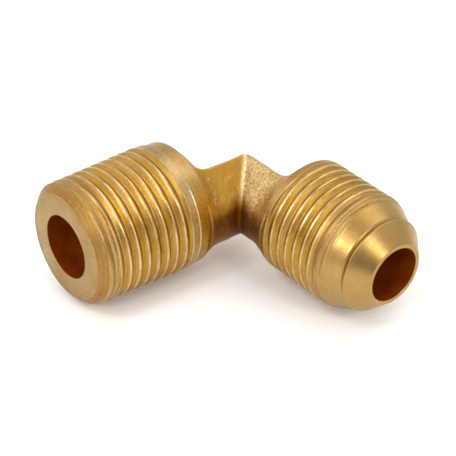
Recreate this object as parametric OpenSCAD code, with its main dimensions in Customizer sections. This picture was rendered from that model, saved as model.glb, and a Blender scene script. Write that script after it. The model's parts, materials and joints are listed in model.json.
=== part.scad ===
// 90 degree male elbow: a 45 degree flare end on one arm and a tapered pipe
// thread on the other, cut on one piece of forged brass.
//
// Millimetres, +Z up. The origin is where the axes of the two ends cross. The
// pipe end points along -Y and the flare end along +X. Each node is the stretch
// of the forging between two machined boundaries, and neighbours meet face to
// face. In a profile, a point is [r, a]: its distance from the arm's axis, and
// its distance from the origin along the arm.

/* [Threads] */
// Threads per inch, the same on both ends
threads_per_inch = 18; // [17:0.5:19]
// Width of the flat on a thread crest
crest_flat = 0.24; // [0.16:0.02:0.3]
// Major diameter of the flare end's straight thread
flare_thread_d = 15.875; // [15.6:0.025:16.1]
// Width of the flat at the root of the straight thread
flare_root_flat = 0.17; // [0.1:0.01:0.3]
// Crest diameter of the pipe thread, taken at the end face
pipe_thread_d = 16.4; // [16.2:0.05:16.6]
// Width of the flat at the root of the pipe thread
pipe_root_flat = 0.06; // [0.04:0.01:0.2]

/* [Pipe end] */
// Distance from the origin to the face of the pipe end
pipe_face = 29; // [29:0.5:33]
// Diameter of the flat face of the pipe end
pipe_face_d = 14.2; // [13.6:0.1:14.4]
// Bore of the pipe end
pipe_bore_d = 8.5; // [7:0.1:9.5]
// Distance from the face to the first crest of the pipe thread
pipe_first_crest = 1.2; // [1:0.05:1.4]
// Diameter of the collar behind the pipe thread
pipe_collar_d = 17.14; // [17:0.02:17.3]

/* [Flare end] */
// Distance from the origin to the tip of the nose
flare_face = 29.1; // [29:0.1:33]
// Diameter of the narrow flat ring at the tip of the nose
nose_tip_d = 8.4; // [8.2:0.1:9]
// Diameter at the back of the 45 degree seat, and of the land behind it
nose_root_d = 12.9; // [12.7:0.1:13.1]
// Length of the narrow land behind the seat
nose_land_l = 0.4; // [0.2:0.05:0.6]
// Diameter at the bottom of the crease between the nose and the lead cone
crease_d = 12.5; // [12.2:0.1:12.6]
// Length of the lead cone between the crease and the first full crest
lead_cone_l = 3.3; // [3.2:0.1:3.6]
// Bore of the flare end
flare_bore_d = 7.4; // [6:0.1:7.6]

/* [Knee] */
// How far the knee is forged off the crossing of the axes, along +X and along +Y
knee_shift = 0.35; // [0:0.05:0.4]
// Height of the knee between its top and bottom ridges
knee_h = 12.7; // [12.3:0.1:13.1]
// Distance of both ridges from the knee's middle line, towards the inside of the bend
ridge_offset = 3.6; // [3.4:0.05:3.8]
// Height of the flat inner side of the knee
inner_flat_h = 3.7; // [3:0.1:4.4]
// Rise of the outer faces per millimetre towards the inside of the bend
wedge_slope = 0.9; // [0.85:0.01:0.95]
// Distance of the outer edge's flat from the knee's middle line
outer_flat_offset = 2.8; // [2.5:0.05:3]
// Diameter of the waterway inside the knee
waterway_d = 4.8; // [4:0.1:5]
// Distance of the waterway from the knee's middle line, towards the inside of the bend
waterway_offset = 1.2; // [1.1:0.05:1.3]

/* [Hidden] */
$fn = 96;

// Thread form: 60 degree flanks, and the pipe thread's 1 in 16 on diameter
pitch = 25.4 / threads_per_inch;
flank_rise = tan(60);
taper = 1 / 32;
flare_depth = (pitch - crest_flat - flare_root_flat) / 2 * flank_rise;
pipe_depth = (pitch - crest_flat - pipe_root_flat) / 2 * flank_rise;

// Stations along the pipe arm, from its face back to the knee
pipe_crest = pipe_face - pipe_first_crest;
pipe_crests = 9;
pipe_runout = 0.5;
pipe_thread_back = pipe_crest - (pipe_crests - 0.5) * pitch - pipe_runout;
pipe_collar_back = pipe_thread_back - 1.33;
pipe_band_back = pipe_collar_back - 1.97;
pipe_band_front_d = pipe_collar_d - 0.14;
pipe_band_back_d = pipe_collar_d - 0.38;

// Stations along the flare arm, from the tip of the nose back to the knee
seat_back = flare_face - (nose_root_d - nose_tip_d) / 2;
land_back = seat_back - nose_land_l;
crease = land_back - 0.15;
flare_crest = crease - lead_cone_l;
flare_crests = 7;
flare_thread_back = flare_crest - (flare_crests - 0.5) * pitch;
flare_collar_back = flare_thread_back - 1.2;

// The thread's first groove runs out on the lead cone, where its front flank ends
lead_slope = (flare_thread_d - crease_d) / 2 / (lead_cone_l - crest_flat / 2);
lead_groove = flare_crest + pitch / 2 + flare_root_flat / 2;
lead_groove_end = lead_groove
    + (flare_depth - lead_slope * (lead_groove - flare_crest - crest_flat / 2))
    / (flank_rise + lead_slope);
lead_groove_end_r = flare_thread_d / 2
    - lead_slope * (lead_groove_end - flare_crest - crest_flat / 2);

// The point that the drill leaves behind the pipe bore
drill_half_angle = 59;
drill_point_l = (pipe_bore_d - waterway_d) / 2 / tan(drill_half_angle);

// The knee's blocks start and end this far from the origin, before they are cut
knee_reach = 20;
// The corner that the two arms make outside the bend is cut off this far out
corner_cut = 3.2;

// Crest radius of the pipe thread at a station
function pipe_crest_r(a) = pipe_thread_d / 2 + (pipe_face - a) * taper;

// The four points of one thread, from its front root to its back root
function tooth(a, crest_r, depth) =
    let (half = crest_flat / 2, run = depth / flank_rise)
    [
        [crest_r - depth, a + half + run],
        [crest_r, a + half],
        [crest_r, a - half],
        [crest_r - depth, a - half - run],
    ];

// Section of either arm of the knee: x towards the inside of the bend, y up
inner_flat_offset = ridge_offset + (knee_h - inner_flat_h) / 2;
outer_flat_half_h = knee_h / 2 - wedge_slope * (ridge_offset + outer_flat_offset);
knee_section = [
    [ridge_offset, knee_h / 2],
    [inner_flat_offset, inner_flat_h / 2],
    [inner_flat_offset, -inner_flat_h / 2],
    [ridge_offset, -knee_h / 2],
    [-outer_flat_offset, -outer_flat_half_h],
    [-outer_flat_offset, outer_flat_half_h],
];

// Puts a shape made along +Z onto the pipe arm, or onto the flare arm
module on_pipe_arm() {
    rotate([90, 0, 0]) children();
}

module on_flare_arm() {
    rotate([0, 90, 0]) children();
}

// One arm of the knee, cut at the bend by the 45 degree mitre plane
module mitred_arm(length) {
    intersection() {
        translate([0, 0, -knee_reach])
            linear_extrude(knee_reach + length)
                polygon(knee_section);
        rotate([0, -45, 0])
            translate([-2 * knee_reach, -knee_reach, 0])
                cube([4 * knee_reach, 2 * knee_reach, 2 * knee_reach]);
    }
}

// Forged shoulder that swells from the knee to the back of a collar
module shoulder(back_a, back_d) {
    rotate_extrude()
        polygon([
            [0, back_a],
            [back_d / 2, back_a],
            [back_d / 2 - 1, back_a - 1],
            [back_d / 2 - 2.4, back_a - 2.6],
            [0, back_a - 2.6],
        ]);
}

// The narrow passage that joins the two bores, with a round bend
module waterway() {
    translate([knee_shift, knee_shift, 0]) {
        on_pipe_arm()
            translate([waterway_offset, 0, waterway_offset])
                cylinder(d = waterway_d, h = knee_reach);
        on_flare_arm()
            translate([0, -waterway_offset, waterway_offset])
                cylinder(d = waterway_d, h = knee_reach);
        translate([waterway_offset, -waterway_offset, 0])
            sphere(d = waterway_d);
    }
}

// The forged bend with its two shoulders
module forged_knee() {
    color([0.80, 0.62, 0.32])
    difference() {
        union() {
            translate([knee_shift, knee_shift, 0]) {
                on_pipe_arm() mitred_arm(pipe_band_back + knee_shift);
                mirror([1, 1, 0]) on_pipe_arm() mitred_arm(flare_collar_back - knee_shift);
            }
            on_pipe_arm() shoulder(pipe_band_back, pipe_band_back_d);
            on_flare_arm() shoulder(flare_collar_back, flare_thread_d);
        }
        waterway();
        rotate([0, 0, 45])
            translate([-knee_reach, corner_cut, -knee_reach])
                cube(2 * knee_reach);
    }
}

// Turned collar behind the pipe thread, and the band that joins it to the knee
module pipe_collar() {
    color([0.74, 0.60, 0.38])
    difference() {
        on_pipe_arm()
            rotate_extrude()
                polygon([
                    [0, pipe_thread_back],
                    [pipe_collar_d / 2, pipe_thread_back],
                    [pipe_collar_d / 2, pipe_collar_back],
                    [pipe_band_front_d / 2, pipe_collar_back],
                    [pipe_band_back_d / 2, pipe_band_back],
                    [0, pipe_band_back],
                ]);
        waterway();
        on_pipe_arm()
            translate([0, 0, pipe_thread_back - drill_point_l])
                cylinder(d1 = waterway_d, d2 = pipe_bore_d, h = drill_point_l);
    }
}

// Tapered pipe thread with its chamfered face and its bore
module pipe_thread() {
    color([0.77, 0.61, 0.35])
    on_pipe_arm()
    rotate_extrude()
        polygon(concat(
            [[pipe_bore_d / 2, pipe_thread_back], [pipe_bore_d / 2, pipe_face]],
            [[pipe_face_d / 2, pipe_face]],
            [[pipe_crest_r(pipe_crest), pipe_crest + crest_flat / 2]],
            [for (i = [0 : pipe_crests - 1])
                let (a = pipe_crest - i * pitch, form = tooth(a, pipe_crest_r(a), pipe_depth))
                for (point = i == 0 ? [form[2], form[3]] : form) point],
            [[pipe_crest_r(pipe_thread_back) - pipe_depth, pipe_thread_back]]
        ));
}

// Plain ring behind the flare thread
module flare_collar() {
    color([0.74, 0.60, 0.38])
    difference() {
        on_flare_arm()
            rotate_extrude()
                polygon([
                    [0, flare_thread_back],
                    [flare_thread_d / 2 - flare_depth, flare_thread_back],
                    [flare_thread_d / 2, flare_thread_back - flare_depth / flank_rise],
                    [flare_thread_d / 2, flare_collar_back],
                    [0, flare_collar_back],
                ]);
        waterway();
    }
}

// Straight flare thread, and the lead cone in front of it
module flare_thread() {
    color([0.77, 0.61, 0.35])
    on_flare_arm()
    rotate_extrude()
        polygon(concat(
            [[flare_bore_d / 2, flare_thread_back], [flare_bore_d / 2, crease]],
            [[crease_d / 2, crease]],
            [[lead_groove_end_r, lead_groove_end]],
            [[flare_thread_d / 2 - flare_depth, lead_groove]],
            [for (i = [0 : flare_crests - 1])
                let (a = flare_crest - i * pitch)
                for (point = tooth(a, flare_thread_d / 2, flare_depth)) point],
            [[flare_thread_d / 2 - flare_depth, flare_thread_back]]
        ));
}

// Nose with the 45 degree seat that the flared tube is clamped against, and the
// narrow land that ends in the crease
module flare_nose() {
    color([0.79, 0.65, 0.42])
    on_flare_arm()
    rotate_extrude()
        polygon([
            [flare_bore_d / 2, crease],
            [flare_bore_d / 2, flare_face],
            [nose_tip_d / 2, flare_face],
            [nose_root_d / 2, seat_back],
            [nose_root_d / 2, land_back],
            [crease_d / 2, crease],
        ]);
}

forged_knee();
pipe_collar();
pipe_thread();
flare_collar();
flare_thread();
flare_nose();
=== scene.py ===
"""Looks of the flare elbow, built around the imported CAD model.

Lengths are in millimetres until a mesh is made, and in metres after that. The
pipe arm points along -Y and the flare arm along +X from the origin, where their
axes cross. An arm has coordinates (a, r, turn): distance from the origin along
the arm, distance from its axis, and angle round it.
"""

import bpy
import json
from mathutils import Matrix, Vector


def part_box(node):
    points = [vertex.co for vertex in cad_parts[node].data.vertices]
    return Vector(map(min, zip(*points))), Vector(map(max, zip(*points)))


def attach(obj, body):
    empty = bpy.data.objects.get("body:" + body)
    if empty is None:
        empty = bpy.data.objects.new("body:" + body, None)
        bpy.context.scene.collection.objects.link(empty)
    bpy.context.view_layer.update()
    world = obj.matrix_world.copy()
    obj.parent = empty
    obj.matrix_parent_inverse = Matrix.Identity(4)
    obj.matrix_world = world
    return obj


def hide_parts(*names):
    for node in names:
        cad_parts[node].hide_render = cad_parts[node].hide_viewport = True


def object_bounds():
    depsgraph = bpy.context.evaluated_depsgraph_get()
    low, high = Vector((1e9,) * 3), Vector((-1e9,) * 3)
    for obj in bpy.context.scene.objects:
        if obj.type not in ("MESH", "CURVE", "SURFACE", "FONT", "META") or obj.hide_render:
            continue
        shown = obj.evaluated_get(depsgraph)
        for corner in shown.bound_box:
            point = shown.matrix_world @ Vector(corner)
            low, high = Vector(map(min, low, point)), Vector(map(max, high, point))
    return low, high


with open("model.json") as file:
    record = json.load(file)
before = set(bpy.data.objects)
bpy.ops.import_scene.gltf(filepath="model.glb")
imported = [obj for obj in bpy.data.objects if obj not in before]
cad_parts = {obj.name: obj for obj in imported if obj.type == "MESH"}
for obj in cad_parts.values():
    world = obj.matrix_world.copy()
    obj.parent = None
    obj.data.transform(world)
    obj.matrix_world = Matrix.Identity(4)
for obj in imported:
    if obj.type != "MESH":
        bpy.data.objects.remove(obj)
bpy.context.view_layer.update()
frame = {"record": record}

import json
import math
import bmesh
import bpy
import numpy as np
import openvdb
from mathutils import Matrix, Vector

MM = 0.001


# ---------------------------------------------------------------- the frame

def box_mm(node):
    """Lowest and highest corner of a CAD node."""
    low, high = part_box(node)
    return [c / MM for c in low], [c / MM for c in high]


def mount_radius(name):
    return next(m["dims"]["r_mm"] for m in frame["record"]["mounts"] if m["name"] == name)


# Places along the pipe arm, from its face back to the knee, and its radii
pipe_low, pipe_high = box_mm("pipe_thread")
collar_high = box_mm("pipe_collar")[1]
pipe_face = -pipe_low[1]
pipe_back = -pipe_high[1]
collar_step = pipe_back - 1.33
collar_back = -collar_high[1]
collar_r = collar_high[2]
pipe_bore_r = mount_radius("pipe_bore")

# Places along the flare arm, from its tip back to the knee, and its radii
nose_low, nose_high = box_mm("flare_nose")
nose_tip = nose_high[0]
crease = nose_low[0]
flare_back = box_mm("flare_thread")[0][0]
ring_back = box_mm("flare_collar")[0][0]
land_r = nose_high[2]
flare_r = mount_radius("flare_thread")
flare_bore_r = mount_radius("flare_bore")

# Both threads have 18 turns to the inch, and the pipe thread's radius grows by 1 in 32
PITCH = 25.4 / 18
TAPER = 1 / 32
CREST_HALF = 0.13
CREST_ROUND = 0.18
ROOT_ROUND = 0.18
FLANK_SLOPE = math.tan(math.radians(60))
# Share of the depth that wear has taken off a thread's start
WORN_SHARE = 0.6

# A first crest is (a, turn) of a point on a thread's crest
PIPE_CREST_R = 8.2
PIPE_DEPTH = 0.60
PIPE_FIRST_CREST = (pipe_face - 1.2, math.radians(40))
FLARE_DEPTH = 0.54
FLARE_FIRST_CREST = (crease - 3.3, math.radians(44))

# The flat face ends in a chamfer, and the bore in a drill point inside the collar
PIPE_CHAMFER_R = 7.10
FACE_MIDDLE_R = 5.6
DRILL_POINT = 1.1
COLLAR_BACK_R = 8.34
NOSE_TIP_R = 4.25

# The lead cone in front of the flare thread ends in a crease behind the nose
CREASE_R = 6.08
CONE_FOOT_R = 6.27
CONE_TOP = crease - 3.35
CONE_BACK = crease - 2.4

# Fine ridges that the die left round a thread's start
RIPPLE_PITCH = 0.37
RIPPLE_HEIGHT = 0.06
RIPPLE_PATCH = 2.3

# The knee is a mitred bar, shifted a little along +X and +Y, with a narrow waterway in it. It
# blends into a shoulder behind each collar, and laps a little way under the collars
KNEE_SHIFT = 0.35
KNEE_FILLET = 1.5
KNEE_LAP = 0.4
WATERWAY_R = 2.4
WATERWAY_OFFSET = 1.2
# In the bar's section (s, z), s grows towards the inside of the bend. Two facets, given by the
# way that they face, meet in a ridge above and below, and flats end the bar inside and outside
RIDGE = (3.6, 6.35)
INNER_FACET = (1, 1)
OUTER_FACET = (-0.9, 1)
INNER_S = 8.1
OUTER_S = -2.8
MITRE_ROUND = 0.55
RIDGE_ROUND = 0.12
INNER_ROUND = 1.2
OUTER_ROUND = 2.4
PIPE_SHOULDER_R = 8.31
FLARE_SHOULDER_R = flare_r - 0.05
SHOULDER_LENGTH = 2.8
SHOULDER_SLOPE = 0.9
# Height, cell and squeeze along z of the forging's fine and coarse relief
FINE_RELIEF = (0.030, 0.42, 0.7)
COARSE_RELIEF = (0.035, 1.1, 1.0)

STEPS_PER_TURN = 240
ROWS_PER_PITCH = 20
ARC_STEPS = 5
WELD = 0.002
KNEE_CELL = 0.16
# Distance from an edge of the rows that keep it crisp under smooth shading
SUPPORT = 0.05


# ----------------------------------------------------------------- materials

# Burnished thread crests and rubbed edges, also painted highlight on the collar's edges and the knee's lit
# facet
BURNISH_AND_HIGHLIGHT = (0.68, 0.52, 0.28, 1.0)
# Painted highlight along the knee's ridge lines
PAINTED_HIGHLIGHT = (0.86, 0.68, 0.40, 1.0)
PALE = (0.48, 0.335, 0.160, 1.0)
# Painted reflection of the bright studio above, on the collar's top
SKY_REFLECTION_TONE = (0.40, 0.28, 0.145, 1.0)
FACED = (0.38, 0.255, 0.105, 1.0)
FACED_DEEP = (0.345, 0.215, 0.078, 1.0)
TAN = (0.385, 0.235, 0.072, 1.0)
OCHRE = (0.39, 0.222, 0.040, 1.0)
BRIGHT_GOLD = (0.50, 0.27, 0.035, 1.0)
FORGED_GOLD = (0.46, 0.235, 0.022, 1.0)
GOLD = (0.43, 0.225, 0.018, 1.0)
STAIN = (0.27, 0.120, 0.012, 1.0)
RUSSET = (0.24, 0.100, 0.007, 1.0)
# Painted shade: the brown that darkens the inside and underside of the knee's bend
PAINTED_SHADE_BROWN = (0.12, 0.034, 0.0005, 1.0)
# Painted glow deeper down the bores, making up for the light that fades there
BORE_PAINTED_GLOW = (0.42, 0.085, 0.001, 1.0)
BORE_CLOUD = (0.17, 0.030, 0.0002, 1.0)
DARK = (0.13, 0.017, 0.0002, 1.0)
BORE_END = (0.085, 0.011, 0.0002, 1.0)


class Nodes:
    """A short way to write a node tree."""

    def __init__(self, owner):
        owner.use_nodes = True
        self.owner = owner
        self.tree = owner.node_tree
        self.shader = self.tree.nodes.get("Principled BSDF")

    def add(self, kind, **values):
        node = self.tree.nodes.new(kind)
        for key, value in values.items():
            setattr(node, key, value)
        return node

    def put(self, socket, value):
        """Links another node's output to a socket, or gives it a plain value."""
        if isinstance(value, bpy.types.NodeSocket):
            self.tree.links.new(value, socket)
        else:
            socket.default_value = value

    def math(self, operation, a, b=0.0):
        node = self.add("ShaderNodeMath", operation=operation)
        self.put(node.inputs[0], a)
        self.put(node.inputs[1], b)
        return node.outputs[0]

    def plus(self, a, b):
        return self.math("ADD", a, b)

    def times(self, a, b):
        return self.math("MULTIPLY", a, b)

    def attribute(self, name):
        return self.add("ShaderNodeAttribute", attribute_name=name).outputs["Fac"]

    def position(self):
        return self.add("ShaderNodeTexCoord").outputs["Object"]

    def split(self, vector):
        node = self.add("ShaderNodeSeparateXYZ")
        self.put(node.inputs[0], vector)
        return node.outputs

    def vector(self, x, y, z):
        node = self.add("ShaderNodeCombineXYZ")
        for socket, value in zip(node.inputs, (x, y, z)):
            self.put(socket, value)
        return node.outputs[0]

    def noise(self, where, detail=3.0, roughness=0.6):
        """Noise whose cells are one unit across in the coordinates where."""
        node = self.add("ShaderNodeTexNoise")
        self.put(node.inputs["Vector"], where)
        node.inputs["Scale"].default_value = 1.0
        node.inputs["Detail"].default_value = detail
        node.inputs["Roughness"].default_value = roughness
        return node.outputs["Fac"]

    def spots(self, per_metre, detail=3.0, roughness=0.6):
        """Noise with a number of cells to the metre along x, y and z."""
        node = self.add("ShaderNodeMapping")
        self.put(node.inputs["Vector"], self.position())
        node.inputs["Scale"].default_value = per_metre
        return self.noise(node.outputs[0], detail, roughness)

    def ramp(self, value, low, high, to_low=0.0, to_high=1.0):
        """A smooth step from to_low to to_high, while the value goes from low to high."""
        node = self.add("ShaderNodeMapRange", interpolation_type="SMOOTHSTEP")
        self.put(node.inputs["Value"], value)
        for key, number in (("From Min", low), ("From Max", high), ("To Min", to_low), ("To Max", to_high)):
            node.inputs[key].default_value = number
        return node.outputs[0]

    def mix(self, factor, a, b):
        node = self.add("ShaderNodeMix", data_type="RGBA")
        self.put(node.inputs["Factor"], factor)
        self.put(node.inputs["A"], a)
        self.put(node.inputs["B"], b)
        return node.outputs["Result"]

    def dress(self, tone, rough):
        """Gives the shader a colour and a roughness."""
        self.put(self.shader.inputs["Base Color"], tone)
        self.put(self.shader.inputs["Roughness"], rough)

    def emboss(self, height, depth, strength):
        """Gives the shader a fine relief, where a height of 1 stands for a depth in millimetres."""
        node = self.add("ShaderNodeBump")
        self.put(node.inputs["Height"], height)
        node.inputs["Distance"].default_value = depth * MM
        node.inputs["Strength"].default_value = strength
        self.put(self.shader.inputs["Normal"], node.outputs[0])


def brass(name, colour, roughness):
    """A metallic shader with its constant values set on the shader's own sockets."""
    n = Nodes(bpy.data.materials.new(name))
    n.shader.inputs["Metallic"].default_value = 1.0
    n.shader.inputs["Base Color"].default_value = colour
    n.shader.inputs["Roughness"].default_value = roughness
    return n


def arm_coordinates(n, arm):
    """Distance along the arm, distance from its axis and turn round it, in millimetres and turns."""
    x, y, z = n.split(n.position())
    along, across = (y, x) if arm == "pipe" else (x, y)
    a = n.times(n.math("ABSOLUTE", along), 1 / MM)
    square = n.plus(n.times(across, across), n.times(z, z))
    r = n.times(n.math("SQRT", square), 1 / MM)
    turn = n.times(n.math("ARCTAN2", z, across), 1 / math.tau)
    return a, r, turn


def around(n, where, per_a, per_r, per_turn):
    """Noise coordinates with a number of cells along the arm, away from its axis and round it."""
    return n.vector(*[n.times(value, per) for value, per in zip(where, (per_a, per_r, per_turn))])


def grain(n, tone, amount=0.40):
    """Fine sand-like grain over a colour, with the height it comes from."""
    sand = n.spots((3600, 3600, 3600), 2.0, 0.7)
    tone = n.mix(n.ramp(sand, 0.52, 0.72, 0.0, amount), tone, PALE)
    tone = n.mix(n.ramp(sand, 0.28, 0.48, amount, 0.0), tone, RUSSET)
    return tone, sand


def thread_brass(arm, worn_from, worn_to):
    """Cut thread: pale burnished crests, golden grooves, and tool marks drawn out round the arm.

    Towards the end of the arm, from worn_from to worn_to, the thread is worn, and
    its grooves are paler and its tool marks stronger.
    """
    n = brass(f"{arm}_thread_brass", TAN, 0.40)
    where = arm_coordinates(n, arm)
    lift = n.attribute("lift")
    worn = n.ramp(where[0], worn_from, worn_to)
    streaks = n.noise(around(n, where, 4.4, 4.4, 6.0))
    breaks = n.noise(around(n, where, 1.5, 1.5, 34.0), 2.0, 0.5)
    blotches = n.spots((260, 260, 260))
    tone = n.mix(n.ramp(lift, 0.20, 0.75), n.mix(worn, GOLD, TAN), OCHRE)
    crest = n.times(n.ramp(lift, 0.78, 0.97), n.ramp(breaks, 0.30, 0.60, 0.30, 1.0))
    tone = n.mix(crest, tone, BURNISH_AND_HIGHLIGHT)
    streak_share = n.ramp(worn, 0.0, 1.0, 0.35, 0.85)
    tone = n.mix(n.times(n.ramp(streaks, 0.48, 0.62), streak_share), tone, PALE)
    tone = n.mix(n.times(n.ramp(streaks, 0.34, 0.46, 1.0, 0.0), streak_share), tone, RUSSET)
    tone = n.mix(n.ramp(blotches, 0.50, 0.78, 0.0, 0.40), tone, RUSSET)
    if arm == "pipe":
        tone = n.mix(n.ramp(where[0], pipe_face - 1.3, pipe_face - 0.7, 0.0, 0.6), tone, STAIN)
    tone, sand = grain(n, tone)
    n.dress(tone, n.plus(n.ramp(lift, 0.3, 1.0, 0.44, 0.32), n.ramp(streaks, 0.3, 0.7, -0.06, 0.08)))
    fine = n.noise(around(n, where, 14.0, 14.0, 9.0), 2.0, 0.5)
    n.emboss(n.plus(n.times(fine, n.ramp(worn, 0.0, 1.0, 0.8, 2.2)), sand), 0.024, 0.9)
    return n.owner


def turned_brass(arm, part):
    """Turned face or cone: faint circular tool marks, clouds of tarnish, fine grain and a satin sheen."""
    n = brass(f"{arm}_{part}_brass", TAN, 0.34)
    rings = n.noise(around(n, arm_coordinates(n, arm), 11.0, 11.0, 3.0), 3.0, 0.5)
    clouds = n.spots((160, 160, 160), 3.0, 0.55)
    tone = n.mix(n.ramp(clouds, 0.40, 0.75, 0.0, 0.4), TAN, PALE)
    tone = n.mix(n.ramp(rings, 0.50, 0.78, 0.0, 0.4), tone, OCHRE)
    tone, sand = grain(n, tone, 0.3)
    n.dress(tone, n.ramp(rings, 0.3, 0.7, 0.31, 0.39))
    n.emboss(n.plus(n.times(rings, 0.7), sand), 0.014, 0.8)
    return n.owner


def face_brass():
    """Faced end: matt and evenly pale, with faint round marks and small dark specks."""
    n = brass("pipe_face_brass", TAN, 0.45)
    rings = n.noise(around(n, arm_coordinates(n, "pipe"), 9.0, 9.0, 2.0), 3.0, 0.5)
    clouds = n.spots((260, 260, 260))
    specks = n.spots((1500, 1500, 1500), 2.0)
    tone = n.mix(n.ramp(clouds, 0.35, 0.70), FACED, FACED_DEEP)
    tone = n.mix(n.ramp(rings, 0.50, 0.75, 0.0, 0.3), tone, TAN)
    tone = n.mix(n.ramp(specks, 0.64, 0.72, 0.0, 0.45), tone, RUSSET)
    tone, sand = grain(n, tone, 0.2)
    n.dress(tone, n.ramp(clouds, 0.3, 0.7, 0.42, 0.52))
    n.emboss(n.plus(n.times(rings, 0.5), sand), 0.016, 0.8)
    return n.owner


def collar_brass():
    """Collar behind the pipe thread: chatter marks along its front, golden round marks on its back.

    It is paler and duller on top, a painted reflection of the studio above, and its two edges are rubbed
    bright in places, wear with painted highlight.
    """
    n = brass("pipe_collar_brass", TAN, 0.40)
    where = arm_coordinates(n, "pipe")
    chatter = n.noise(around(n, where, 0.8, 0.8, 90.0), 2.0)
    rings = n.noise(around(n, where, 9.0, 9.0, 2.0), 3.0, 0.5)
    clouds = n.spots((240, 240, 240))
    front = n.mix(n.ramp(chatter, 0.38, 0.62, 0.0, 0.8), PALE, OCHRE)
    back = n.mix(n.ramp(rings, 0.40, 0.66), BRIGHT_GOLD, GOLD)
    tone = n.mix(n.ramp(where[0], collar_step - 0.25, collar_step + 0.05, 1.0, 0.0), front, back)
    height = n.times(n.split(n.position())[2], 1 / MM)
    above = n.plus(height, n.times(clouds, 3.0))
    # Painted reflection: paler and duller towards the top
    tone = n.mix(n.ramp(above, 5.0, 9.0, 0.0, 0.7), tone, SKY_REFLECTION_TONE)
    tone = n.mix(n.ramp(clouds, 0.50, 0.80, 0.0, 0.5), tone, RUSSET)
    tone = grain(n, tone)[0]
    # Rubbed edges: wear and painted highlight, less of it on the top
    for edge in (pipe_back - 0.06, collar_step + 0.08):
        from_edge = n.math("ABSOLUTE", n.math("SUBTRACT", where[0], edge))
        wear_and_highlight = n.times(n.ramp(from_edge, 0.05, 0.22, 0.9, 0.0), n.ramp(chatter, 0.36, 0.52))
        wear_and_highlight = n.times(wear_and_highlight, n.ramp(above, 5.5, 8.5, 1.0, 0.35))
        tone = n.mix(wear_and_highlight, tone, BURNISH_AND_HIGHLIGHT)
    n.dress(tone, n.ramp(clouds, 0.3, 0.7, 0.34, 0.42))
    n.emboss(n.plus(n.times(chatter, 0.6), rings), 0.02, 0.6)
    return n.owner


def bore_brass(arm, mouth, back):
    """Drilled bore, dull and dark reddish at its mouth, warmer inside as painted glow against the fading
    light, darkest on its end.
    """
    n = brass(f"{arm}_bore_brass", DARK, 0.6)
    n.shader.inputs["Metallic"].default_value = 0.0
    n.shader.inputs["Specular IOR Level"].default_value = 0.05
    along = arm_coordinates(n, arm)[0]
    clouds = n.spots((500, 500, 500))
    tone = n.mix(n.ramp(clouds, 0.3, 0.7), DARK, BORE_CLOUD)
    # Painted glow: lighter and warmer deeper inside the bore
    tone = n.mix(n.ramp(along, mouth - 9.0, mouth - 1.5), BORE_PAINTED_GLOW, tone)
    tone = n.mix(n.ramp(along, back - 0.05, back + 0.25), BORE_END, tone)
    n.dress(tone, n.ramp(clouds, 0.3, 0.7, 0.55, 0.7))
    return n.owner


def forged_brass():
    """As-forged skin after tumbling: fine pebbles drawn out up and down; painted brown shade inside the
    bend; painted highlights on one facet and the ridges.
    """
    n = brass("forged_brass", GOLD, 0.42)
    pebbles = n.spots((4600, 4600, 1900))
    clouds = n.spots((330, 330, 330))
    painted_shade, painted_lit_facet, painted_ridge_highlight = n.attribute("painted_shade"), n.attribute("painted_lit_facet"), n.attribute("painted_ridge_highlight")
    # Painted highlight: paler skin and more pale pebbles on the flare side's upper facet
    share = n.times(n.ramp(pebbles, 0.36, 0.64), n.ramp(painted_lit_facet, 0.0, 1.0, 0.30, 0.85))
    tone = n.mix(share, n.mix(painted_lit_facet, FORGED_GOLD, TAN), n.mix(painted_lit_facet, PALE, BURNISH_AND_HIGHLIGHT))
    tone = n.mix(n.ramp(clouds, 0.45, 0.75, 0.0, 0.5), tone, OCHRE)
    tone = n.mix(n.ramp(pebbles, 0.25, 0.40, 0.4, 0.0), tone, RUSSET)
    # Painted highlight lines along the mitre and the seam to the shoulders
    tone = n.mix(n.times(painted_ridge_highlight, n.ramp(pebbles, 0.30, 0.50, 0.5, 1.0)), tone, PAINTED_HIGHLIGHT)
    # Painted shade in brown inside and under the bend
    tone = n.mix(painted_shade, tone, PAINTED_SHADE_BROWN)
    rough = n.math("SUBTRACT", n.ramp(pebbles, 0.3, 0.7, 0.46, 0.36), n.times(painted_ridge_highlight, 0.14))
    n.dress(tone, n.plus(rough, n.times(painted_shade, 0.12)))
    n.emboss(pebbles, 0.030, 0.8)
    return n.owner


# -------------------------------------------------------------------- curves

def smooth(value, low, high):
    """A smooth step from 0 at low to 1 at high."""
    t = np.clip((value - low) / (high - low), 0, 1)
    return t * t * (3 - 2 * t)


def soft_step(x, width):
    """0 below 0 and x above it, with the corner rounded over width."""
    return 0.5 * (x + np.sqrt(x * x + width * width))


def soft_max(a, b, width):
    """The larger of a and b, with the corner between them rounded over width."""
    h = np.maximum(width - np.abs(a - b), 0) / width
    return np.maximum(a, b) + h * h * width / 4


def soft_min(a, b, width):
    return -soft_max(-a, -b, width)


def lattice_noise(points, cell, seed):
    """Smooth seeded noise in -1..1 at points, with features of about one cell."""
    size = 64
    offset = 200.5
    values = np.random.default_rng(seed).uniform(-1, 1, (size, size, size))
    p = points / cell + offset
    low = np.floor(p).astype(int)
    f = p - low
    f = f * f * (3 - 2 * f)
    total = np.zeros(len(points))
    for corner in np.ndindex(2, 2, 2):
        weight = np.prod(np.where(np.array(corner), f, 1 - f), 1)
        cx, cy, cz = ((low + corner) % size).T
        total += weight * values[cx, cy, cz]
    return total


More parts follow.
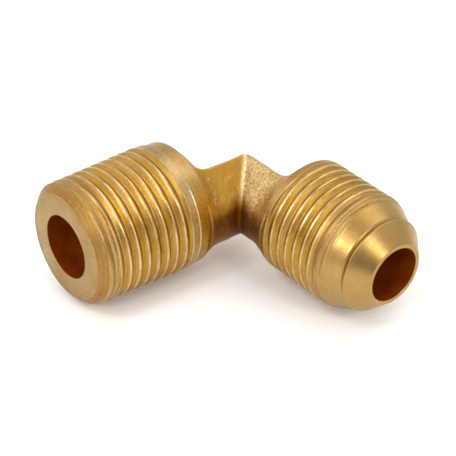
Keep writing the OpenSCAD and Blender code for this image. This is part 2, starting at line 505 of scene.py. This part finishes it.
def fillet(corners):
    """A profile's points (a, r), with each corner (a, r, radius) rounded by an arc."""
    out = []
    for index, (a, r, radius) in enumerate(corners):
        here = np.array([a, r])
        if radius == 0:
            out.append(here)
            continue
        before = np.array(corners[index - 1][:2]) - here
        after = np.array(corners[(index + 1) % len(corners)][:2]) - here
        before = before / np.linalg.norm(before)
        after = after / np.linalg.norm(after)
        half = math.acos(np.clip(before @ after, -1, 1)) / 2
        reach = radius / math.tan(half)
        middle = before + after
        centre = here + middle / np.linalg.norm(middle) * radius / math.sin(half)
        start, end = here + before * reach - centre, here + after * reach - centre
        sweep = math.pi - 2 * half
        for step in range(ARC_STEPS + 1):
            t = step / ARC_STEPS
            spoke = math.sin((1 - t) * sweep) * start + math.sin(t * sweep) * end
            out.append(centre + spoke / math.sin(sweep))
    return np.array(out)


# -------------------------------------------------------------------- meshes

def on_pipe_arm(a, r, turn, shift=0.0):
    """Points at (a, r, turn) on the pipe arm, shifted towards the inside of the bend."""
    return np.stack([shift + r * np.cos(turn), -a, r * np.sin(turn)], -1)


def on_flare_arm(a, r, turn, shift=0.0):
    """Points at (a, r, turn) on the flare arm, shifted towards the inside of the bend."""
    return np.stack([a, -shift - r * np.cos(turn), r * np.sin(turn)], -1)


ARMS = {"pipe": on_pipe_arm, "flare": on_flare_arm}
# The way a right-hand thread climbs the arm as the turn grows
CLIMB = {"pipe": 1.0, "flare": -1.0}


def coordinates(mesh):
    flat = np.zeros(len(mesh.vertices) * 3)
    mesh.vertices.foreach_get("co", flat)
    return flat.reshape(-1, 3)


def face_centres(mesh):
    flat = np.zeros(len(mesh.polygons) * 3)
    mesh.polygons.foreach_get("center", flat)
    return flat.reshape(-1, 3)


def arm_position(points, arm):
    """(a, r) of points in metres."""
    x, y, z = (points / MM).T
    a, across = (-y, x) if arm == "pipe" else (x, y)
    return a, np.hypot(across, z)


def signed_volume(mesh):
    """Volume inside a closed mesh, below 0 where its faces point inwards."""
    mesh.calc_loop_triangles()
    corners = np.zeros(len(mesh.loop_triangles) * 3, np.int32)
    mesh.loop_triangles.foreach_get("vertices", corners)
    p = coordinates(mesh)[corners.reshape(-1, 3)]
    return np.einsum("ij,ij->i", p[:, 0], np.cross(p[:, 1], p[:, 2])).sum() / 6


def weld_seams(mesh):
    """Joins the points that meet at a ring's seam, and drops faces without area."""
    work = bmesh.new()
    work.from_mesh(mesh)
    bmesh.ops.remove_doubles(work, verts=work.verts, dist=WELD * MM)
    bmesh.ops.dissolve_degenerate(work, edges=work.edges, dist=WELD * MM / 10)
    work.to_mesh(mesh)
    work.free()


def make_piece(name, points, faces, materials, node, has_seams=True):
    """Makes a smooth-shaded mesh that rides on the part and stands for a CAD node."""
    mesh = bpy.data.meshes.new(name)
    mesh.from_pydata((points * MM).tolist(), [], faces.tolist())
    if has_seams:
        weld_seams(mesh)
    mesh.update()
    if signed_volume(mesh) < 0:
        mesh.flip_normals()
    mesh.shade_smooth()
    for material in materials:
        mesh.materials.append(material)
    piece = bpy.data.objects.new(name, mesh)
    bpy.context.scene.collection.objects.link(piece)
    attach(piece, "root")
    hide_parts(node)
    return piece


def set_attribute(piece, name, values):
    attribute = piece.data.attributes.new(name, "FLOAT", "POINT")
    attribute.data.foreach_set("value", values.astype(np.float32))


def set_materials(piece, index):
    piece.data.polygons.foreach_set("material_index", index.astype(np.int32))


def grid_faces(rows, columns):
    """Quads between neighbouring rows of a grid of points, where each row closes on itself."""
    i = np.arange(rows - 1)[:, None]
    j = np.arange(columns)[None, :]
    k = (j + 1) % columns
    quads = np.stack([i * columns + j, (i + 1) * columns + j, (i + 1) * columns + k, i * columns + k], -1)
    return quads.reshape(-1, 4)


def turned_piece(name, arm, corners, materials, node, shifts=()):
    """A ring turned from a closed profile.

    shifts moves the circles of the profile's last points towards the inside of the bend.
    """
    profile = fillet(corners)
    shift = np.zeros(len(profile))
    if shifts:
        shift[-len(shifts):] = shifts
    turn = np.linspace(0, math.tau, STEPS_PER_TURN + 1)[:, None]
    a = profile[None, :, 0] + 0 * turn
    r = profile[None, :, 1] + 0 * turn
    points = ARMS[arm](a, r, turn, shift[None, :])
    return make_piece(name, points.reshape(-1, 3), grid_faces(*a.shape), materials, node)


# ------------------------------------------------------------ threaded ends

def thread_fall(distance):
    """Share of the depth by which the thread lies below its crest, at a distance along the axis."""
    fall = soft_step((distance - CREST_HALF) * FLANK_SLOPE, CREST_ROUND)
    fall = 1 - soft_step(1 - fall, ROOT_ROUND)
    return np.clip(fall, 0, 1)


def ripples(points, along):
    """Fine broken ridges left by the die where it started, about 0 to 1, at points on the thread."""
    breaks = lattice_noise(points.reshape(-1, 3), RIPPLE_PATCH, 11).reshape(along.shape)
    wave = np.cos(math.tau * (along / RIPPLE_PITCH + 0.6 * breaks))
    return 0.5 + 0.5 * wave * np.clip(0.6 + 1.2 * breaks, 0, 1)


def threaded_piece(name, arm, ends, crest_r, depth, first_crest, blank_r, rippled, face, materials, node):
    """A right-hand helical thread on a ring.

    ends are where the thread ends at the back and at the front. crest_r, depth
    and blank_r are functions of a; blank_r is the blank that the thread is cut
    on. first_crest is (a, turn) of a point on the crest. rippled is where the
    die's fine ridges start, are full, begin to fade and end. face is the profile
    in front of the thread, from its outer edge to the back of the bore.
    """
    back, front = ends
    first_row = math.floor((back - PITCH) / PITCH) * ROWS_PER_PITCH
    last_row = math.ceil((front + PITCH) / PITCH) * ROWS_PER_PITCH
    rows = np.arange(first_row, last_row + 1) * PITCH / ROWS_PER_PITCH
    turn = np.linspace(0, math.tau, STEPS_PER_TURN + 1)[:, None]
    climb = CLIMB[arm] * PITCH * turn / math.tau
    a = np.clip(rows[None, :] + first_crest[0] % PITCH + climb, back, front)
    phase = (a - first_crest[0] - CLIMB[arm] * PITCH * (turn - first_crest[1]) / math.tau) / PITCH
    distance = np.abs(phase - np.round(phase)) * PITCH
    r = np.minimum(crest_r(a) - thread_fall(distance) * depth(a), blank_r(a))
    share = smooth(a, rippled[0], rippled[1]) * smooth(-a, -rippled[3], -rippled[2])
    r = r - RIPPLE_HEIGHT * share * ripples(ARMS[arm](a, r, turn), a - climb)
    tail = fillet(face)
    a = np.concatenate([a, np.broadcast_to(tail[:, 0], (STEPS_PER_TURN + 1, len(tail)))], 1)
    r = np.concatenate([r, np.broadcast_to(tail[:, 1], (STEPS_PER_TURN + 1, len(tail)))], 1)
    points = ARMS[arm](a, r, turn)
    piece = make_piece(name, points.reshape(-1, 3), grid_faces(*a.shape), materials, node)
    at, radius = arm_position(coordinates(piece.data), arm)
    below_crest = (crest_r(at) - radius) / np.maximum(depth(at), 0.05)
    set_attribute(piece, "lift", np.clip(1 - below_crest, 0, 1))
    return piece


def bore_wall(radius, mouth, back, rows):
    """A bore's profile from its mouth to its back, with rows at some depths to keep its shading even."""
    return [(a, radius, 0) for a in (*(mouth - row for row in rows), back + SUPPORT, back)]


def pipe_bore_brass():
    return bore_brass("pipe", pipe_face, pipe_back)


def flare_bore_brass():
    return bore_brass("flare", nose_tip, flare_back)


def pipe_crest(a):
    return PIPE_CREST_R + (pipe_face - a) * TAPER


def pipe_depth(a):
    """Depth of the worn thread: shallow near the face, and running out towards the collar."""
    worn = 1 - WORN_SHARE * smooth(a, pipe_face - 4.2, pipe_face - 2.2)
    return PIPE_DEPTH * worn * (0.6 + 0.4 * smooth(a, pipe_back, pipe_back + 1.6))


def pipe_blank(a):
    """The blank: a chamfer of about 45 degrees behind the flat face, then the taper."""
    return np.minimum(PIPE_CHAMFER_R + (pipe_face - a) * 1.05, pipe_crest(a))


def make_pipe_thread():
    front = pipe_face - SUPPORT
    face = [(front, PIPE_CHAMFER_R, 0), (pipe_face, PIPE_CHAMFER_R - SUPPORT, 0),
            (pipe_face, FACE_MIDDLE_R, 0), (pipe_face, pipe_bore_r, 0.08),
            *bore_wall(pipe_bore_r, pipe_face, pipe_back, (0.5, 6))]
    rippled = [pipe_face - behind for behind in (3.0, 2.0, 0.8, 0.1)]
    materials = [thread_brass("pipe", pipe_face - 4.2, pipe_face - 2.4), face_brass(), pipe_bore_brass()]
    piece = threaded_piece("pipe_thread_helix", "pipe", (pipe_back, front), pipe_crest, pipe_depth,
                           PIPE_FIRST_CREST, pipe_blank, rippled, face, materials, "pipe_thread")
    a, r = arm_position(face_centres(piece.data), "pipe")
    set_materials(piece, np.where(a > pipe_face - 0.06, 1, np.where(r < pipe_bore_r + 0.03, 2, 0)))


def flare_crest(a):
    return flare_r + 0 * a


def flare_depth(a):
    """Depth of the worn thread: shallow at its start on the lead cone, and running out into the ring."""
    worn = 1 - WORN_SHARE * smooth(a, crease - 5.1, crease - 3.5)
    return FLARE_DEPTH * worn * smooth(a, flare_back - 0.2, flare_back + 1.2)


def flare_blank(a):
    """The blank: a short steep foot at the crease, a lead cone, then the crests' cylinder."""
    cone = CONE_FOOT_R + (crease - a) * (flare_r - CONE_FOOT_R) / (crease - CONE_TOP)
    return np.clip(np.minimum(cone, CREASE_R + (crease - a) * 1.3), 0, flare_r)


def make_flare_thread():
    face = [(crease, CREASE_R, 0), (crease, flare_bore_r, 0),
            *bore_wall(flare_bore_r, crease, flare_back, (SUPPORT, 6))]
    rippled = [crease - behind for behind in (4.1, 3.4, 2.7, 1.7)]
    materials = [thread_brass("flare", crease - 5.0, crease - 3.5), turned_brass("flare", "cone"),
                 flare_bore_brass()]
    piece = threaded_piece("flare_thread_helix", "flare", (flare_back, crease), flare_crest, flare_depth,
                           FLARE_FIRST_CREST, flare_blank, rippled, face, materials, "flare_thread")
    a, r = arm_position(face_centres(piece.data), "flare")
    set_materials(piece, np.where(r < flare_bore_r + 0.03, 2, np.where(a > CONE_BACK, 1, 0)))


# ------------------------------------------------------------- turned pieces

def darken_inside(piece, arm, bore_r):
    """Gives the bore's dull reddish material to the faces that can be seen down a bore."""
    r = arm_position(face_centres(piece.data), arm)[1]
    set_materials(piece, r < bore_r + 0.02)


def make_nose():
    """The flare's seat cone, with a narrow land behind it and a bevel down into the crease."""
    corners = [(crease, flare_bore_r, 0), (crease, CREASE_R, 0), (crease + 0.25, land_r - 0.04, 0.06),
               (crease + 0.42, land_r, 0.12), (nose_tip, NOSE_TIP_R, 0.12), (nose_tip, flare_bore_r, 0.1),
               (nose_tip - 0.5, flare_bore_r, 0), (crease + SUPPORT, flare_bore_r, 0)]
    materials = [turned_brass("flare", "seat"), flare_bore_brass()]
    piece = turned_piece("flare_seat_cone", "flare", corners, materials, "flare_nose")
    darken_inside(piece, "flare", flare_bore_r)


def make_pipe_collar():
    """The collar's wide front, its step and its plain back, with the waterway's end in it."""
    front = [(pipe_back, collar_r, 0.08), (pipe_back - 0.25, collar_r - 0.05, 0.1),
             (collar_step + 0.25, collar_r - 0.05, 0.1), (collar_step + 0.05, collar_r, 0.06)]
    back = [(collar_step - 0.05, collar_r - 0.22, 0.03), (collar_back, COLLAR_BACK_R, 0.04)]
    inside = [(collar_back, WATERWAY_R, 0), (pipe_back - DRILL_POINT, WATERWAY_R, 0),
              (pipe_back, pipe_bore_r, 0)]
    shift = WATERWAY_OFFSET + KNEE_SHIFT
    materials = [collar_brass(), pipe_bore_brass()]
    piece = turned_piece("pipe_collar_band", "pipe", front + back + inside, materials, "pipe_collar",
                         (shift, shift, 0.0))
    darken_inside(piece, "pipe", pipe_bore_r)


def make_flare_collar():
    """The plain ring behind the flare thread, with the waterway's other end in it."""
    corners = [(flare_back, flare_r - 0.3, 0), (flare_back - 0.35, flare_r, 0.15),
               (ring_back, flare_r - 0.02, 0.04), (ring_back, WATERWAY_R, 0), (flare_back, WATERWAY_R, 0)]
    shift = WATERWAY_OFFSET - KNEE_SHIFT
    materials = [turned_brass("flare", "ring"), flare_bore_brass()]
    piece = turned_piece("flare_ring", "flare", corners, materials, "flare_collar", (shift, shift))
    darken_inside(piece, "flare", flare_bore_r)


# ------------------------------------------------------------------ the knee

def half_plane(s, z, point, outward):
    """Signed distance to a line through a point of the bar's section, negative inside the bar."""
    normal = np.array(outward) / np.hypot(*outward)
    return (s - point[0]) * normal[0] + (z - point[1]) * normal[1]


def shoulder(a, r, back, radius):
    """A rounded forged shoulder that swells out of the knee up to the collar."""
    cone = (r - (radius - 1.0) - (a - back + 1.0) * SHOULDER_SLOPE) / math.hypot(1, SHOULDER_SLOPE)
    side = soft_max(r - radius, cone, 0.8)
    return soft_max(side, back - SHOULDER_LENGTH - a, 2.4)


def knee_parts(x, y, z):
    """Signed distances to the knee's mitred bar and to the shoulders behind the two collars."""
    shoulders = np.minimum(shoulder(-y, np.hypot(x, z), collar_back, PIPE_SHOULDER_R),
                           shoulder(x, np.hypot(y, z), ring_back, FLARE_SHOULDER_R))
    s = soft_min(x - KNEE_SHIFT, KNEE_SHIFT - y, MITRE_ROUND)
    facet = half_plane(s, np.abs(z), RIDGE, INNER_FACET)
    wedge = half_plane(s, np.abs(z), RIDGE, OUTER_FACET)
    bar = soft_max(facet, wedge, RIDGE_ROUND)
    bar = soft_max(bar, s - INNER_S, INNER_ROUND)
    return soft_max(bar, OUTER_S - s, OUTER_ROUND), shoulders


def knee_distance(x, y, z):
    """Signed distance, about, to the knee's skin, in millimetres; negative inside."""
    bar, shoulders = knee_parts(x, y, z)
    ends = np.maximum(-y - collar_back, x - ring_back) - KNEE_LAP
    body = np.maximum(soft_min(bar, shoulders, KNEE_FILLET), ends)
    x = x - KNEE_SHIFT - WATERWAY_OFFSET
    y = y - KNEE_SHIFT + WATERWAY_OFFSET
    pipe_way = np.maximum(np.hypot(x, z), WATERWAY_R + y)
    flare_way = np.maximum(np.hypot(y, z), WATERWAY_R - x)
    channel = np.minimum(pipe_way, flare_way)
    channel = np.minimum(channel, np.sqrt(x * x + y * y + z * z)) - WATERWAY_R
    return np.maximum(body, -channel)


def knee_normals(points):
    step = 0.02
    out = []
    for axis in np.eye(3) * step:
        out.append(knee_distance(*(points + axis).T) - knee_distance(*(points - axis).T))
    normals = np.stack(out, -1)
    return normals / np.maximum(np.linalg.norm(normals, axis=1), 1e-9)[:, None]


def knee_marks(points):
    """Shares of painted brown shade, painted highlight on the lit facet and painted highlight lines along
    the ridges, at points of the knee's skin.

    s grows towards the inside of the bend, and across grows from the mitre's
    plane towards the flare arm.
    """
    x, y, z = points.T
    s = np.minimum(x - KNEE_SHIFT, KNEE_SHIFT - y)
    across = x + y - 2 * KNEE_SHIFT
    corner = np.exp(-np.maximum(np.abs(across) - 0.5, 0) / 2.6)
    # Painted shade: brown on the inner face and underside of the bend, strongest near the mitre
    inner = smooth(s, 5.4, 7.2) * smooth(-z, -2.4 - 2.0 * corner, -0.2 - 1.2 * corner)
    low = smooth(s, 3.0, 6.0) * smooth(-z, 0.5, 3.5)
    painted_shade = np.clip(np.maximum(inner, low) * (0.45 + 0.55 * corner), 0, 1)
    # Painted highlight: the flare side's upper facet is made paler than the rest
    facing = smooth(s, 2.4, 3.6)
    painted_lit_facet = smooth(across, 0.0, 0.7) * smooth(z, -1.0, 2.0) * facing + 0.35 * (1 - facing)
    bar, shoulders = knee_parts(x, y, z)
    # Painted highlight lines along the mitre and along the seam to the shoulders, broken up by noise
    mitre_highlight = np.exp(-(across / 0.33) ** 2) * smooth(z, 0.0, 3.0) * smooth(s, 3.2, 3.9)
    seam_highlight = np.exp(-((bar - shoulders + 0.45) / 0.20) ** 2) * smooth(z, 0.5, 2.0) * smooth(s, 3.4, 4.0)
    wear_and_highlight = smooth(lattice_noise(points, 0.27, 17), -0.1, 0.5)
    painted_ridge_highlight = np.maximum(mitre_highlight, 0.6 * seam_highlight * wear_and_highlight) * (1 - painted_shade)
    return {"painted_shade": painted_shade, "painted_lit_facet": painted_lit_facet, "painted_ridge_highlight": painted_ridge_highlight}


def make_knee():
    """The knee's skin, with the forging's fine relief on it outside the two collars."""
    low, high = box_mm("forged_knee")
    axes = [np.arange(lo - 1.0, hi + 1.0, KNEE_CELL) for lo, hi in zip(low, high)]
    x, y, z = np.meshgrid(*axes, indexing="ij")
    field = openvdb.FloatGrid()
    field.copyFromArray(knee_distance(x, y, z).astype(np.float32))
    points, quads = field.convertToQuads(isovalue=0.0)
    points = points.astype(float) * KNEE_CELL + np.array([axis[0] for axis in axes])
    outside = (points[:, 1] > -collar_back + 0.05) & (points[:, 0] < ring_back - 0.05)
    relief = 0
    for (height, cell, squeeze), seed in ((FINE_RELIEF, 3), (COARSE_RELIEF, 5)):
        relief = relief + height * lattice_noise(points * (1, 1, squeeze), cell, seed)
    points = points + knee_normals(points) * (relief * outside)[:, None]
    piece = make_piece("forged_knee_skin", points, quads, [forged_brass()], "forged_knee",
                       has_seams=False)
    for name, values in knee_marks(coordinates(piece.data) / MM).items():
        set_attribute(piece, name, values)


make_pipe_thread()
make_flare_thread()
make_nose()
make_pipe_collar()
make_flare_collar()
make_knee()


# --------------------------------------------------------- floor, light, camera

# The lights point at the centre. Each has a name, azimuth, elevation, diameter and power
CENTRE = (10, -10, 0)
LIGHT_DISTANCE = 260
LIGHTS = (
    ("right_softbox", -3, 38, 66, 0.13),
    ("front_softbox", -66, 36, 66, 0.15),
    ("top_softbox", -80, 55, 60, 0.12),
)

STUDIO = (0.92, 0.91, 0.89)
# The studio's bright and dark sides: azimuth and elevation of the middle, half-angle, and colour added
SIDES = (
    (-36, 9, 34, (-0.82, -0.85, -0.88)),
    (2, 6, 24, (0.45, 0.42, 0.38)),
    (-140, 28, 38, (0.75, 0.74, 0.72)),
    (98, 62, 31, (1.65, 1.62, 1.58)),
)

CAMERA_AT = (121.5, -104.7, 101.9)
CAMERA_AIM = (8.93, -10.04, 0.0)
CAMERA_ROLL = 1.85
CAMERA_LENS = 110.0

# The floor's half width and its gap below the part, in metres
FLOOR_HALF = 1.5
FLOOR_GAP = 0.0001


def towards(azimuth, elevation):
    """Unit vector at an azimuth from +X and an elevation, in degrees."""
    az, el = math.radians(azimuth), math.radians(elevation)
    return Vector((math.cos(el) * math.cos(az), math.cos(el) * math.sin(az), math.sin(el)))


def look_at(thing, position, target, roll_degrees=0.0):
    """Places a light or a camera, and turns its -Z to a target."""
    thing.location = Vector(position) * MM
    direction = (Vector(target) - Vector(position)).normalized()
    roll = Matrix.Rotation(math.radians(roll_degrees), 3, "Z")
    turn = direction.to_track_quat("-Z", "Y").to_matrix() @ roll
    thing.rotation_euler = turn.to_euler()


def make_floor():
    mesh = bpy.data.meshes.new("floor")
    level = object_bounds()[0].z - FLOOR_GAP
    corners = [(sx * FLOOR_HALF, sy * FLOOR_HALF, level) for sx, sy in ((-1, -1), (1, -1), (1, 1), (-1, 1))]
    mesh.from_pydata(corners, [], [(0, 1, 2, 3)])
    floor = bpy.data.objects.new("floor", mesh)
    bpy.context.scene.collection.objects.link(floor)
    paper = Nodes(bpy.data.materials.new("pale_floor"))
    paper.shader.inputs["Base Color"].default_value = (0.97, 0.97, 0.97, 1)
    paper.shader.inputs["Roughness"].default_value = 0.9
    mesh.materials.append(paper.owner)


def make_light(name, azimuth, elevation, diameter, power):
    data = bpy.data.lights.new(name, "AREA")
    data.shape = "DISK"
    data.size = diameter * MM
    data.energy = power
    light = bpy.data.objects.new(name, data)
    bpy.context.scene.collection.objects.link(light)
    look_at(light, Vector(CENTRE) + towards(azimuth, elevation) * LIGHT_DISTANCE, CENTRE)


def make_world():
    """A pale studio with soft bright sides, and a dark side low behind the camera's place."""
    world = bpy.data.worlds.new("studio")
    n = Nodes(world)
    direction = n.add("ShaderNodeTexCoord").outputs["Generated"]
    colour = n.vector(*STUDIO)
    for azimuth, elevation, half_angle, added in SIDES:
        cosine = n.add("ShaderNodeVectorMath", operation="DOT_PRODUCT")
        n.put(cosine.inputs[0], direction)
        n.put(cosine.inputs[1], towards(azimuth, elevation))
        share = n.ramp(cosine.outputs["Value"], math.cos(math.radians(half_angle)), 1.0)
        step = n.add("ShaderNodeVectorMath", operation="MULTIPLY_ADD")
        n.put(step.inputs[0], n.vector(share, share, share))
        n.put(step.inputs[1], added)
        n.put(step.inputs[2], colour)
        colour = step.outputs[0]
    background = n.tree.nodes["Background"]
    n.put(background.inputs["Color"], colour)
    background.inputs["Strength"].default_value = 1.0
    bpy.context.scene.world = world


def make_camera():
    data = bpy.data.cameras.new("camera")
    data.lens = CAMERA_LENS
    data.sensor_width = 36.0
    data.clip_start = 0.01
    data.clip_end = 10
    camera = bpy.data.objects.new("camera", data)
    bpy.context.scene.collection.objects.link(camera)
    look_at(camera, CAMERA_AT, CAMERA_AIM, CAMERA_ROLL)
    bpy.context.scene.camera = camera


make_floor()
make_world()
for light in LIGHTS:
    make_light(*light)
make_camera()
bpy.context.scene.view_settings.view_transform = "Standard"
